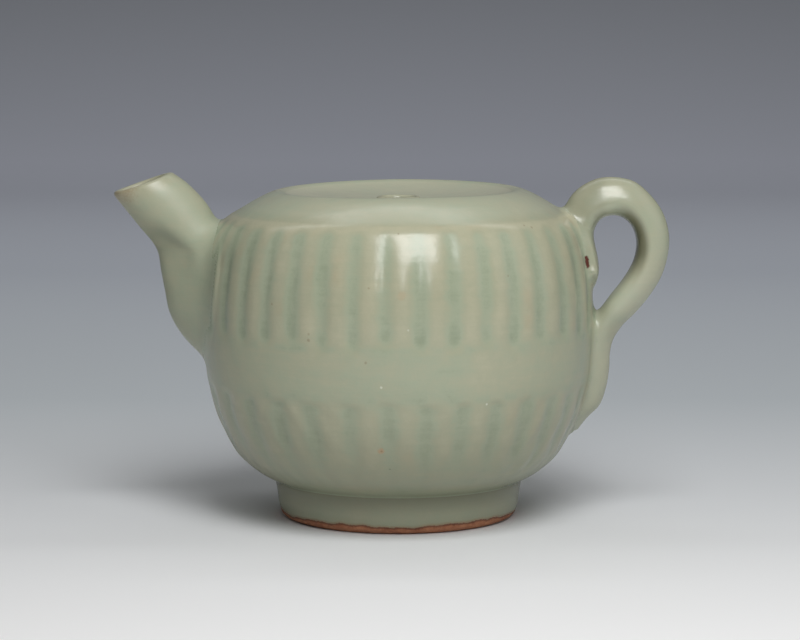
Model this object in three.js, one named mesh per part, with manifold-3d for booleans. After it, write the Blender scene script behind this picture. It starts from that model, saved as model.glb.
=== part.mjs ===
// A small celadon ewer in the form of a teapot, in millimetres, with +Z up.
//
// The potter presses the body in two ribbed moulds that meet in a plain belt, then lutes on a turned
// foot ring, a sunken top with a low-lipped filling hole, a hollow upturned spout and a rolled coil
// handle. Each of those clay parts is a mesh here. The vessel has no lid and nothing on it moves.
//
// The origin lies on the table, midway between the tip of the spout (-X) and the back of the
// handle (+X). The vessel is turned about its own upright axis, which lies axisOffset beside it.

import * as THREE from 'three';
import { mergeVertices } from 'three/addons/utils/BufferGeometryUtils.js';
import Module from 'manifold-3d';

const wasm = await Module();
wasm.setup();

// Body: radii are from the vessel's axis, heights are from the table
const bodyRadius = 49.3;
const bodyWidestHeight = 54;
const shoulderRadius = 42.2;
const shoulderHeight = 76.9;
const rimRadius = 30;
const rimHeight = 82.7;
const wall = 4;
const seamHeight = 41.2;

// Foot ring
const footHeight = 9;
const footRadius = 30.4;
const footTopRadius = 31.4;
const footWall = 4.6;
const footBevelWidth = 1.4;
const footBevelHeight = 1.9;
const footRecess = 4.5;

// Moulded ribs: the upper and the lower mould have their own count, so the ribs don't line up
const ribDepth = 0.95;
const ribRamp = 1.7;
const ribFade = 13;
const upperRibs = { count: 35, firstGroove: THREE.MathUtils.degToRad(-3.5), low: 47.2, high: shoulderHeight };
const lowerRibs = { count: 29, firstGroove: THREE.MathUtils.degToRad(-3.75), low: 11, high: 35.2 };

// Sunken top and the lip of its filling hole
const dishDepth = 3.2;
const topThickness = 3.3;
const topRadius = 28.5;
const ledgeWidth = 3.2;
const ledgeHeight = 77.6;
const ledgeThickness = 3.1;
const neckWall = 2.6;
const fillerRadius = 4;
const lipWall = 1.6;
const lipHeight = 2;

// Spout: its mouth is cut on a slope that falls towards the tip
const spoutReach = 71.1;
const spoutTipHeight = 82.3;
const spoutBackHeight = 87;
const spoutMouthLength = 14.1;
const spoutRootLow = 39;
const spoutRootHigh = 75.6;
const spoutRootWidth = 21;
const spoutMouthWidth = 13.3;
const spoutWall = 2.7;
const spoutHoleRadius = 4.5;
const spoutHoleHeight = 60;

// Handle: a rolled coil whose two ends run on down the body as flattened tails
const handleReach = 68.2;
const handleTop = 86.2;
const handleLow = 47;
const coilRadius = 4;
const upperTailLow = 60.8;
const lowerTailLow = 22.6;

// Slip joints: what curves keeps this gap, and what is flat meets face to face
const jointGap = 0.3;
const overrun = 3;

// Facets
const footSides = 48;
const envelopeSides = 80;
const hollowSides = 40;
const topSides = 48;
const lipSides = 24;
const facetsPerRib = 4;
const coilSides = 12;
const halvings = 40;

// Shares place the control points of a curve between its two ends, first outwards, then upwards
const lowerSwellShares = [[0.82, 0.125], [1, 0.453]];
const upperSwellShares = [[0, 0.373], [0.26, 0.84]];
const shoulderShares = [[0.26, 0.36], [0.66, 0.97]];
const dishShares = [[0.24, 0.8], [0.62, 1]];

const axisOffset = (spoutReach - handleReach) / 2;
const rimSlope = rimRadius - topRadius;
const halfTurn = Math.PI;
const finishes = {
  glaze: { color: 0x9fae93, roughness: 0.3, metalness: 0 },
  thinGlaze: { color: 0xb1b49a, roughness: 0.4, metalness: 0 },
  biscuit: { color: 0x8a5a41, roughness: 0.85, metalness: 0 },
};

// Outlines

function bezier(start, end, shares) {
  const across = end.clone().sub(start);
  const controls = shares.map(([out, up]) => new THREE.Vector2(across.x * out, across.y * up).add(start));
  return new THREE.CubicBezierCurve(start, controls[0], controls[1], end);
}

const at = (radius, height) => new THREE.Vector2(radius, height);
const lowerSwell = bezier(at(footTopRadius, footHeight), at(bodyRadius, bodyWidestHeight), lowerSwellShares);
const upperSwell = bezier(at(bodyRadius, bodyWidestHeight), at(shoulderRadius, shoulderHeight), upperSwellShares);
const shoulder = bezier(at(shoulderRadius, shoulderHeight), at(rimRadius, rimHeight), shoulderShares);

// The place along a rising curve where it reaches a height, found by halving
function shareAtHeight(curve, height) {
  let low = 0;
  let high = 1;
  for (let i = 0; i < halvings; i++) {
    const middle = (low + high) / 2;
    if (curve.getPoint(middle).y < height) low = middle;
    else high = middle;
  }
  return (low + high) / 2;
}

function wallCurveAt(height) {
  if (height < bodyWidestHeight) return lowerSwell;
  return height < shoulderHeight ? upperSwell : shoulder;
}

// A point of the body's outer wall at a height
function wallPoint(height) {
  const curve = wallCurveAt(height);
  return curve.getPoint(shareAtHeight(curve, height));
}

// The body's outer outline from the foot to the rim, moved square to itself
function bodyOutline(outwards, divisions) {
  const points = [];
  for (const curve of [lowerSwell, upperSwell, shoulder]) {
    for (let i = 0; i <= divisions; i++) {
      const share = i / divisions;
      const along = curve.getTangent(share);
      points.push(curve.getPoint(share).add(at(along.y, -along.x).multiplyScalar(outwards)));
    }
  }
  return points;
}

// Solids

function solidOf(geometry) {
  geometry.deleteAttribute('normal');
  geometry.deleteAttribute('uv');
  const merged = mergeVertices(geometry);
  const corners = merged.index.array;
  const triangles = [];
  for (let i = 0; i < corners.length; i += 3) {
    const [a, b, c] = corners.slice(i, i + 3);
    if (a !== b && b !== c && c !== a) triangles.push(a, b, c);
  }
  return new wasm.Manifold(new wasm.Mesh({
    numProp: 3,
    vertProperties: new Float32Array(merged.attributes.position.array),
    triVerts: new Uint32Array(triangles),
  }));
}

function geometryOf(solid) {
  const mesh = solid.getMesh();
  const geometry = new THREE.BufferGeometry();
  geometry.setAttribute('position', new THREE.BufferAttribute(mesh.vertProperties, 3));
  geometry.setIndex(new THREE.BufferAttribute(mesh.triVerts, 1));
  geometry.computeVertexNormals();
  return geometry;
}

// Turns a profile, drawn upwards on its outer side, about the upright axis
function turned(profile, sides, firstAngle = 0) {
  return new THREE.LatheGeometry(profile, sides, firstAngle).rotateX(halfTurn / 2);
}

// Presses a ring of grooves into a turned wall: broad round ribs that meet in narrow grooves
function pressRibs(geometry, ribs, fade) {
  const position = geometry.attributes.position;
  const point = new THREE.Vector3();
  for (let i = 0; i < position.count; i++) {
    point.fromBufferAttribute(position, i);
    const radius = Math.hypot(point.x, point.y);
    const turn = Math.atan2(point.x, -point.y) - ribs.firstGroove;
    const groove = 1 - Math.abs(Math.sin(ribs.count * turn / 2));
    const kept = radius > 0 ? 1 - ribDepth * groove * fade(point.z) / radius : 1;
    position.setXY(i, point.x * kept, point.y * kept);
  }
  return geometry;
}

const ramp = (value, start, end) => THREE.MathUtils.clamp((value - start) / (end - start), 0, 1);

// Heights from low to high in equal steps, both ends among them
function levels(low, high, steps) {
  return Array.from({ length: steps + 1 }, (unused, i) => low + (high - low) * i / steps);
}

// Sweeps sections along a path: section(share) gives a centre and a half span, both in the upright
// plane through the spout and the handle, and the half width across that plane
function swept(section, steps, sides) {
  const geometry = new THREE.CylinderGeometry(1, 1, 1, sides, steps);
  const position = geometry.attributes.position;
  for (let i = 0; i < position.count; i++) {
    const { centre, half, width } = section(position.getY(i) + 1 / 2);
    const span = position.getX(i);
    position.setXYZ(i, centre.x + half.x * span, -width * position.getZ(i), centre.y + half.y * span);
  }
  return geometry;
}

// What the spout and the handle are cut to, so that they sit on the body
const bodyEnvelope = solidOf(turned([
  at(0, footHeight),
  ...bodyOutline(jointGap, 8),
  at(0, rimHeight + jointGap),
], envelopeSides));

// Foot

function footRing() {
  const inner = footRadius - footWall;
  return solidOf(turned([
    at(inner, footBevelHeight / 2),
    at(inner + footBevelWidth / 2, 0),
    at(footRadius - footBevelWidth, 0),
    at(footRadius - footBevelWidth / 3, footBevelHeight / 2),
    at(footRadius, footBevelHeight),
    at(footTopRadius, footHeight),
    at(inner, footHeight),
    at(inner, footBevelHeight / 2),
  ], footSides));
}

// Body

// The hollow of the vessel, its mouth under the sunken top and the seat of that top
function bodyHollow() {
  const ledgeInner = topRadius - ledgeWidth;
  const neck = topRadius + neckWall;
  const inside = bodyOutline(-wall, 4).filter((point) => point.x > neck);
  return solidOf(turned([
    at(0, inside[0].y),
    ...inside,
    at(neck, inside.at(-1).y),
    at(neck, ledgeHeight - ledgeThickness),
    at(ledgeInner, ledgeHeight - ledgeThickness),
    at(ledgeInner, ledgeHeight),
    at(topRadius, ledgeHeight),
    at(topRadius, rimHeight + overrun),
    at(0, rimHeight + overrun),
  ], hollowSides));
}

function lowerBody() {
  const pad = footRadius - footWall - jointGap;
  const rows = [
    footHeight,
    lowerRibs.low,
    ...levels(lowerRibs.low, lowerRibs.high - ribRamp, 5).slice(1),
    lowerRibs.high,
    seamHeight,
  ];
  const outside = turned([
    at(0, footRecess),
    at(pad, footRecess),
    at(pad, footHeight),
    ...rows.map(wallPoint),
    at(0, seamHeight),
  ], lowerRibs.count * facetsPerRib, lowerRibs.firstGroove);
  pressRibs(outside, lowerRibs, (height) =>
    ramp(height, lowerRibs.low, lowerRibs.low + ribFade) - ramp(height, lowerRibs.high - ribRamp, lowerRibs.high));
  return solidOf(outside).subtract(bodyHollow());
}

function upperBody() {
  const rows = [
    seamHeight,
    upperRibs.low,
    ...levels(upperRibs.low + ribRamp, upperRibs.high - ribRamp, 4),
    upperRibs.high,
  ];
  const outside = turned([
    at(0, seamHeight),
    ...rows.map(wallPoint),
    ...levels(1 / 4, 1, 3).map((share) => shoulder.getPoint(share)),
    at(topRadius, rimHeight - rimSlope / 2),
    at(0, rimHeight - rimSlope / 2),
  ], upperRibs.count * facetsPerRib, upperRibs.firstGroove);
  pressRibs(outside, upperRibs, (height) =>
    ramp(height, upperRibs.low, upperRibs.low + ribRamp) - ramp(height, upperRibs.high - ribRamp, upperRibs.high));
  return solidOf(outside).subtract(bodyHollow()).subtract(spoutHole());
}

// The hole pierced through the body behind the spout
function spoutHole() {
  const hole = new THREE.CylinderGeometry(spoutHoleRadius, spoutHoleRadius, bodyRadius, coilSides);
  hole.rotateZ(halfTurn / 2).translate(-bodyRadius, 0, spoutHoleHeight);
  return solidOf(hole);
}

// Top

function sunkenTop() {
  const edge = topRadius - jointGap;
  const step = topRadius - ledgeWidth - jointGap;
  const bottom = rimHeight - dishDepth;
  const lipRadius = fillerRadius + lipWall;
  const dish = bezier(at(edge, rimHeight - rimSlope), at(lipRadius, bottom), dishShares);
  return solidOf(turned([
    at(fillerRadius, bottom - topThickness),
    at(step * 2 / 3, bottom - topThickness),
    at(step, ledgeHeight),
    at(edge, ledgeHeight),
    ...dish.getPoints(6),
    at(fillerRadius, bottom),
    at(fillerRadius, bottom - topThickness),
  ], topSides));
}

function fillerCollar() {
  const low = rimHeight - dishDepth;
  const middle = fillerRadius + lipWall / 2;
  const arcCentre = low + lipHeight - lipWall / 2;
  const arc = new THREE.EllipseCurve(middle, arcCentre, lipWall / 2, lipWall / 2, 0, halfTurn);
  return solidOf(turned([
    at(fillerRadius, low),
    at(fillerRadius + lipWall, low),
    ...arc.getPoints(5),
    at(fillerRadius, low),
  ], lipSides));
}

// Spout

// Its under line and its upper line, as shares of the way from the root to the mouth: outwards from
// the body, then upwards
const spoutUnderShares = [
  [0, 0], [0.2, 0.105], [0.4, 0.245], [0.485, 0.385], [0.54, 0.57], [0.66, 0.735], [0.87, 0.865], [1, 1],
];
const spoutUpperShares = [
  [0, 0], [0.1, 0.02], [0.19, 0.06], [0.25, 0.16], [0.37, 0.36], [0.55, 0.59], [0.8, 0.865], [1, 1],
];
// How much of the root's width is left at each of those stations, from all of it down to the mouth's
const spoutWidthShares = [1, 0.7, 0.48, 0.36, 0.3, 0.26, 0.16, 0];

function spoutLine(shares, root, mouth) {
  const across = mouth.clone().sub(root);
  return new THREE.SplineCurve(shares.map(([out, up]) => at(across.x * out, across.y * up).add(root)));
}

const rootInset = wall / 2;
const spoutUnder = spoutLine(
  spoutUnderShares,
  at(rootInset - wallPoint(spoutRootLow).x, spoutRootLow),
  at(-spoutReach, spoutTipHeight),
);
const spoutUpper = spoutLine(
  spoutUpperShares,
  at(rootInset / 2 - wallPoint(spoutRootHigh).x, spoutRootHigh),
  at(spoutMouthLength - spoutReach, spoutBackHeight),
);

function tableAt(shares, share) {
  const place = share * (shares.length - 1);
  const index = Math.min(Math.floor(place), shares.length - 2);
  return THREE.MathUtils.lerp(shares[index], shares[index + 1], place - index);
}

// A section of the spout, drawn in by a wall for the bore, whose last section runs past the mouth
function spoutSection(share, inset, past) {
  const under = spoutUnder.getPoint(share);
  const upper = spoutUpper.getPoint(share);
  const half = upper.clone().sub(under).divideScalar(2);
  const outwards = at(-half.y, half.x).normalize().multiplyScalar(share === 1 ? past : 0);
  const width = THREE.MathUtils.lerp(spoutMouthWidth, spoutRootWidth, tableAt(spoutWidthShares, share)) / 2;
  return {
    centre: under.add(upper).divideScalar(2).add(outwards),
    half: half.setLength(half.length() - inset),
    width: width - inset,
  };
}

function spout() {
  const outside = solidOf(swept((share) => spoutSection(share, 0, 0), 14, 20));
  const bore = solidOf(swept((share) => spoutSection(share, spoutWall, overrun), 14, 14));
  return outside.subtract(bore).subtract(bodyEnvelope);
}

// Handle

// The free loop of the coil, from the shoulder over the top and down to the lower join: outwards
// from the body, upwards from the lower join, and the coil's thickness
const loopShares = [
  [-0.118, 0.92, 1.15],
  [0.072, 0.993, 1.24],
  [0.32, 1, 1.26],
  [0.569, 0.975, 1.19],
  [0.771, 0.908, 1.08],
  [0.948, 0.796, 1],
  [1, 0.67, 0.95],
  [0.967, 0.55, 0.96],
  [0.882, 0.448, 1],
  [0.608, 0.24, 1],
  [0.353, 0.117, 1],
  [0.131, -0.012, 1.02],
];
// The two tails, pressed on to the body: how far each point lies from the tip, and its thickness
const upperTailShares = [[0, 0.28], [0.23, 0.54], [0.51, 0.77], [0.79, 0.98]];
const lowerTailShares = [[0.71, 1.07], [0.51, 1.1], [0.32, 1.06], [0.16, 0.8], [0, 0.34]];

// The path's points, with the coil's thickness as a third coordinate
function handlePath() {
  const [, , backShare] = loopShares.find(([out]) => out === 1);
  const [, , topShare] = loopShares.find(([, up]) => up === 1);
  const loopOut = handleReach - coilRadius * backShare - bodyRadius;
  const loopRise = handleTop - coilRadius * topShare - handleLow;
  const tail = (low, high, shares) => shares.map(([share, thickness]) => {
    const onWall = wallPoint(low + (high - low) * share);
    return new THREE.Vector3(onWall.x, thickness * coilRadius, onWall.y);
  });
  const loop = loopShares.map(([out, up, thickness]) =>
    new THREE.Vector3(bodyRadius + loopOut * out, thickness * coilRadius, handleLow + loopRise * up));
  return new THREE.CatmullRomCurve3([
    ...tail(upperTailLow, shoulderHeight, upperTailShares),
    ...loop,
    ...tail(lowerTailLow, handleLow, lowerTailShares),
  ], false, 'centripetal');
}

function handle() {
  const path = handlePath();
  const section = (share) => {
    const point = path.getPoint(share);
    const along = path.getTangent(share);
    return {
      centre: at(point.x, point.z),
      half: at(along.z, -along.x).setLength(point.y),
      width: point.y,
    };
  };
  return solidOf(swept(section, 46, coilSides)).subtract(bodyEnvelope);
}

// Assembly

function piece(name, solid, finish) {
  const mesh = new THREE.Mesh(geometryOf(solid), new THREE.MeshStandardMaterial(finish));
  mesh.name = name;
  return mesh;
}

const ewer = new THREE.Group();
ewer.add(
  piece('foot_ring', footRing(), finishes.biscuit),
  piece('lower_body', lowerBody(), finishes.glaze),
  piece('upper_body', upperBody(), finishes.glaze),
  piece('sunken_top', sunkenTop(), finishes.glaze),
  piece('filler_collar', fillerCollar(), finishes.thinGlaze),
  piece('spout', spout(), finishes.glaze),
  piece('handle', handle(), finishes.glaze),
);
ewer.position.x = axisOffset;

export default ewer;
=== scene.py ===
"""A small celadon ewer in the form of a teapot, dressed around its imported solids.

Sizes are in millimetres about the vessel's own upright axis, with the spout towards -X and the
camera towards -Y, and placed() turns them into the frame's metres. Angles run round that axis from
the camera's side, and grow towards the handle.
"""

import math

import bmesh
import bpy
import numpy as np
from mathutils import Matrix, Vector
from mathutils.bvhtree import BVHTree


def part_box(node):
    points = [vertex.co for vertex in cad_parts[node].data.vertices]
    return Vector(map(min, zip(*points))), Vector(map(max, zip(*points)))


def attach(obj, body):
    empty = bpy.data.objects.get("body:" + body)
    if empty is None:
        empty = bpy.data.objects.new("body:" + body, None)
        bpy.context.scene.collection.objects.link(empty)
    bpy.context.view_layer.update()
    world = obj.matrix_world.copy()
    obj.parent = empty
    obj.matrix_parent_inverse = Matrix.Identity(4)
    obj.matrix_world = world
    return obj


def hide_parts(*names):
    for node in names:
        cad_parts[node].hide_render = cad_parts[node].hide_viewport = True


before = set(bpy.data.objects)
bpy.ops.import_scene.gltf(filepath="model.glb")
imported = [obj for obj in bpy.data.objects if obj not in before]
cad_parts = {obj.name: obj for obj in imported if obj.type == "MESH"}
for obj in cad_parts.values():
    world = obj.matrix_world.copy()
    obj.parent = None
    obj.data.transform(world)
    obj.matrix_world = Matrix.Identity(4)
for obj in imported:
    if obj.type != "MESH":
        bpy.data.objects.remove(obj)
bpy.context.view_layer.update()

MM = 0.001


def node_box(node):
    """Lowest and highest corner of a solid, in millimetres"""
    return [np.array(corner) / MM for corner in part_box(node)]


# Sizes that the solids give
FOOT_LOW, FOOT_HIGH = node_box("foot_ring")
BODY_LOW, BODY_HIGH = node_box("upper_body")
COLLAR_LOW, COLLAR_HIGH = node_box("filler_collar")
AXIS_X = (FOOT_LOW[0] + FOOT_HIGH[0]) / 2
CREASE_RISE = 0.7
FOOT_HEIGHT = FOOT_HIGH[2] + CREASE_RISE
FOOT_TOP_RADIUS = (FOOT_HIGH[0] - FOOT_LOW[0]) / 2
SEAM_HEIGHT = BODY_LOW[2]
RIM_GLAZE = 0.35
RIM_HEIGHT = BODY_HIGH[2] + RIM_GLAZE
LIP_RADIUS = (COLLAR_HIGH[0] - COLLAR_LOW[0]) / 2
LIP_LOW = COLLAR_LOW[2]
LIP_SINK = 0.45
LIP_HIGH = COLLAR_HIGH[2] - LIP_SINK
SPOUT_REACH = AXIS_X - node_box("spout")[0][0]
HANDLE_REACH = node_box("handle")[1][0] - AXIS_X

# Body
BODY_RADIUS = 49.3
WIDEST_HEIGHT = 54
SHOULDER_RADIUS = 42.2
SHOULDER_HEIGHT = 76.9
RIM_RADIUS = 30
WALL = 4
LOWER_SWELL_SHARES = ((0.82, 0.125), (1, 0.453))
UPPER_SWELL_SHARES = ((0, 0.373), (0.26, 0.84))
SHOULDER_SHARES = ((0.26, 0.29), (0.66, 0.87))

# The potter's own departures from a true round: the shoulder sags towards the spout, the rim stands
# up behind, and the lower bowl is drawn in on both sides, less so under the spout
SHOULDER_SAG = 0.5
RIM_LIFT = 0.35
SAG_HEIGHTS = (SHOULDER_HEIGHT - 4, SHOULDER_HEIGHT + 2)
STILL_RADIUS = 18
BOWL_DRAWS = (0.65, 0.9)
BOWL_DRAW_HEIGHTS = (8, 22, 38)

# Foot
FOOT_RADIUS = 30
FOOT_INNER_RADIUS = 25.8
FOOT_BEVEL_WIDTH = 0.9
FOOT_BEVEL_HEIGHT = 1.9
FOOT_UNDERCUT_WIDTH = 1.2
FOOT_UNDERCUT_HEIGHT = 0.45
FOOT_RECESS = 4.5
CONTACT_WIDTH = 0.3
FLOOR_SHARES = (0.66, 0.33, 0)
# The recessed base, as radius and rise above the recess, then as distance outside the foot's inner radius
BASE_DOME = ((0, 0.5), (10, 0.35), (18, 0.1))
BASE_FILLET = ((-1.6, 0), (-0.7, -0.2), (0.1, -1), (0.8, 0))
# The foot's inner side: distance outside its inner radius, height, and how far on to the bare clay
FOOT_INSIDE = (
    (0.3, FOOT_HEIGHT, -4), (0, FOOT_HEIGHT - 0.4, -3), (0, 2.2, 1),
    (0.1, FOOT_BEVEL_HEIGHT / 2, 3), (FOOT_BEVEL_WIDTH / 2, 0, 3),
)
GLAZE_LINE = 2.15
GLAZE_STEP = 0.14
LEDGE_POOL = 0.5
LEDGE_REACH = 0.9
# Painted shade: how dark it grows low down, the heights it grows between, and its band on the foot
PAINTED_SHADE_MOST = 0.46
PAINTED_SHADE_HEIGHTS = (42, 6)
CREASE_SHADE = 0.45

# Ribs: each mould's ribs stand closer together in front by its crowd, and lean towards one side
RIB_DEPTH = 0.38
RIB_RAMP = 1.9
RIB_FADE = 13
GROOVE_WIDTH_SHARE = 0.24
CROWN_SHARE = 0.25
RIB_WANDER = 0.05
KNOB_HEIGHT = 0.09
TOP_SHALLOWS = 0.7
SHALLOW_REACH = 15
GROOVE_END_WANDER = 1.1
GROOVE_OVERRUN = 0.4
WORN_SHARE = 0.22
SWELL_HEIGHT = 0.16
FREE_ABOVE_FOOT = 6
UPPER_RIBS = {
    "count": 35, "first": math.radians(-3.8), "crowd": 0.5, "lean": -0.25,
    "low": 47.2, "high": SHOULDER_HEIGHT,
}
LOWER_RIBS = {
    "count": 29, "first": math.radians(-3.4), "crowd": 0.53, "lean": 0.39,
    "low": 11, "high": 35.2,
}

# Sunken top and the lip of its filling hole
TOP_RADIUS = 28.5
RIM_EDGE_HEIGHT = RIM_HEIGHT - (RIM_RADIUS - TOP_RADIUS) / 2
TOP_THICKNESS = 3.3
TOP_UNDERSIDE = LIP_LOW - TOP_THICKNESS
TOP_CLEARANCE = 0.3
EDGE_DROP = 1
# The top's glaze is set lighter, as painted light on its upward face
TOP_TONE = -0.1
LEDGE_WIDTH = 3.2
LEDGE_RADIUS = TOP_RADIUS - LEDGE_WIDTH
LEDGE_HEIGHT = 77.6
LEDGE_THICKNESS = 3.1
NECK_WALL = 2.6
NECK_RADIUS = TOP_RADIUS + NECK_WALL
NECK_DROP = 3
LIP_WALL = 1.6
LIP_SEAT = 0.2
HOLE_RADIUS = LIP_RADIUS - LIP_WALL
DISH_SHARES = ((0.24, 0.8), (0.62, 1))

# Spout
SPOUT_TIP_HEIGHT = 81.9
SPOUT_BACK_HEIGHT = 87.1
SPOUT_MOUTH_LENGTH = 14.9
TIP_OVERRUN = 1
SPOUT_ROOT_LOW = 39
SPOUT_ROOT_HIGH = 73
SPOUT_ROOT_WIDTH = 39
SPOUT_MOUTH_WIDTH = 13.3
SPOUT_WALL = 2.7
SPOUT_LIP = 2.1
LIP_LENGTH_SHARE = 0.016
BORE_TAPER_SHARE = 0.3
HOLLOW_START = (60.8, 70.6)
HOLLOW_END = (53.8, 67)
HOLLOW_REACHES = (8, 2.6)
HOLLOW_BLEND = 3
HOLLOW_CLEARS = (48, 59)
HOLLOW_DEPTH_SHARE = 0.32
HOLLOW_SHADE = 0.3
SPOUT_KEEL = 0.2
SPOUT_FLATNESS = 0.22
MOUTH_DIP = 0.35
SPOUT_UNDER_SHARES = (
    (0, 0), (0.195, 0.085), (0.345, 0.19), (0.44, 0.3), (0.482, 0.42), (0.52, 0.54), (0.56, 0.665),
    (0.74, 0.807), (1, 1),
)
SPOUT_UPPER_SHARES = (
    (0, 0), (0.04, 0.03), (0.1, 0.08), (0.17, 0.15), (0.24, 0.25), (0.33, 0.4), (0.47, 0.57),
    (0.72, 0.81), (1, 1),
)
SPOUT_WIDTH_SHARES = (1, 0.65, 0.44, 0.3, 0.2, 0.145, 0.11, 0.06, 0)

# Handle: at each place along the coil its edge towards the loop, then its outer edge, both as shares
# of the way from the belly out to the handle's back and from the lower root up to its top
HANDLE_TOP = 86.2
HANDLE_LOW = 47
COIL_RADIUS = 5.2
PRESSED_THICKNESS = 3.8
COIL_SPREADS = (-1.2, 2.2)
SPREAD_CHANGE = (48, 58)
HANDLE_BELLY_SHARE = 0.3
HANDLE_SHIFT = -1.5
HANDLE_SECTION_SHARES = (
    (-0.005, 0.321, -0.058, 0.321), (0.042, 0.405, -0.13, 0.405), (0.032, 0.49, -0.196, 0.51),
    (0, 0.56, -0.249, 0.61), (-0.012, 0.62, -0.323, 0.7), (0.012, 0.668, -0.368, 0.812),
    (0.074, 0.717, -0.248, 0.906), (0.2, 0.744, 0.069, 0.987), (0.36, 0.735, 0.487, 0.972),
    (0.476, 0.689, 0.73, 0.885), (0.54, 0.628, 0.91, 0.765), (0.563, 0.557, 0.995, 0.628),
    (0.537, 0.472, 0.984, 0.492), (0.465, 0.393, 0.894, 0.347), (0.35, 0.308, 0.72, 0.212),
    (0.222, 0.23, 0.545, 0.112), (0.12, 0.155, 0.397, 0.041), (0.02, 0.05, 0.275, -0.046),
    (-0.04, -0.092, 0.225, -0.138), (-0.08, -0.23, 0.215, -0.245), (-0.143, -0.367, 0.175, -0.367),
    (-0.217, -0.485, 0.085, -0.485), (-0.286, -0.566, -0.09, -0.568), (-0.317, -0.628, -0.217, -0.633),
)

# How wide the slip and glaze round off each joint, low down and at the shoulder, the heights between
# which that changes, and how far from a joint the glaze pools
SPOUT_JOINTS = (2.4, 2.6)
HANDLE_JOINTS = (3.8, 3.6)
JOINT_CHANGE = (68, 80)
JOINT_POOL = 0.3
POOL_REACH = 1.3
# A joint's skin: how far it is felt, its rounds of settling, the least gap that has a direction, the
# least slope where the two surfaces face each other, and the part of the body that is searched
JOIN_REACH = 6
JOIN_STEPS = 5
LEAST_GAP = 0.02
LEAST_SLOPE = 0.35
JOINTS_FROM_AXIS = 34
JOINTS_ASIDE = 23

# Fineness of the surfaces
RIBBED_SIDES = 630
PLAIN_SIDES = 256
FOOT_SIDES = 512
LIP_SIDES = 96
INNER_ROWS = 24
SPOUT_SIDES = 96
SPOUT_ROWS = 96
SPOUT_SECTIONS = 400
SPOUT_LIP_ROWS = 11
BORE_ROWS = 30
HANDLE_SIDES = 48
HANDLE_ROWS = 240
SHARP_ANGLE = math.radians(38)
ROW_LENGTH = 0.62
SHORTEST_ROW = 0.12
TURN_PER_ROW = 0.09
LINE_STEP = 0.1

# Camera, in millimetres from the vessel's axis
EYE = (0.41, -715, 134.8)
AIM_HEIGHT = 49.54
LENS = 128

FULL_TURN = 2 * math.pi


# Curves

def bezier(start, end, shares, steps=60):
    """Points of a curve whose controls are shares of the way from its start to its end"""
    start, end = np.array(start, float), np.array(end, float)
    first, second = (start + (end - start) * share for share in shares)
    t = np.linspace(0, 1, steps)[:, None]
    return (
        (1 - t) ** 3 * start + 3 * (1 - t) ** 2 * t * first
        + 3 * (1 - t) * t ** 2 * second + t ** 3 * end
    )


def spline(points, count):
    """A smooth line through points, sampled evenly from point to point, whatever their spacing"""
    points = np.array(points, float)
    points = np.vstack([2 * points[0] - points[1], points, 2 * points[-1] - points[-2]])
    gaps = np.sqrt(np.linalg.norm(np.diff(points, axis=0), axis=1))[:, None]
    place = np.linspace(0, len(points) - 3, count)
    index = np.minimum(place.astype(int), len(points) - 4)
    t = (place - index)[:, None]
    p0, p1, p2, p3 = (points[index + i] for i in range(4))
    g0, g1, g2 = (gaps[index + i] for i in range(3))
    out = ((p1 - p0) / g0 - (p2 - p0) / (g0 + g1) + (p2 - p1) / g1) * g1
    into = ((p2 - p1) / g1 - (p3 - p1) / (g1 + g2) + (p3 - p2) / g2) * g1
    return (
        (2 * t ** 3 - 3 * t ** 2 + 1) * p1 + (t ** 3 - 2 * t ** 2 + t) * out
        + (3 * t ** 2 - 2 * t ** 3) * p2 + (t ** 3 - t ** 2) * into
    )


def lengths_along(line):
    return np.concatenate([[0], np.cumsum(np.linalg.norm(np.diff(line, axis=0), axis=1))])


def resampled(line, step):
    """The same line in even steps"""
    along = lengths_along(line)
    places = np.linspace(0, along[-1], round(along[-1] / step) + 1)
    return np.column_stack([np.interp(places, along, line[:, i]) for i in range(line.shape[1])])


def smoothstep(value, start, end):
    t = np.clip((value - start) / (end - start), 0, 1)
    return t * t * (3 - 2 * t)


def unevenness(angle, height, seed, turns, wavelength, slope=1):
    """A smooth wandering between about -1 and 1 that closes round the vessel"""
    random = np.random.RandomState(seed)
    total = 0
    for k in range(turns[0], turns[1] + 1, max(1, (turns[1] - turns[0]) // 5)):
        phase, slant = random.uniform(0, FULL_TURN), random.uniform(-slope, slope)
        beat = random.uniform(0, FULL_TURN)
        total = total + np.sin(k * angle + phase + slant * height * FULL_TURN / wavelength) * np.cos(
            height * FULL_TURN / wavelength * (1 + slant / 3) + beat)
    return total / 2.4


# The vessel's outline, as radius and height

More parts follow.
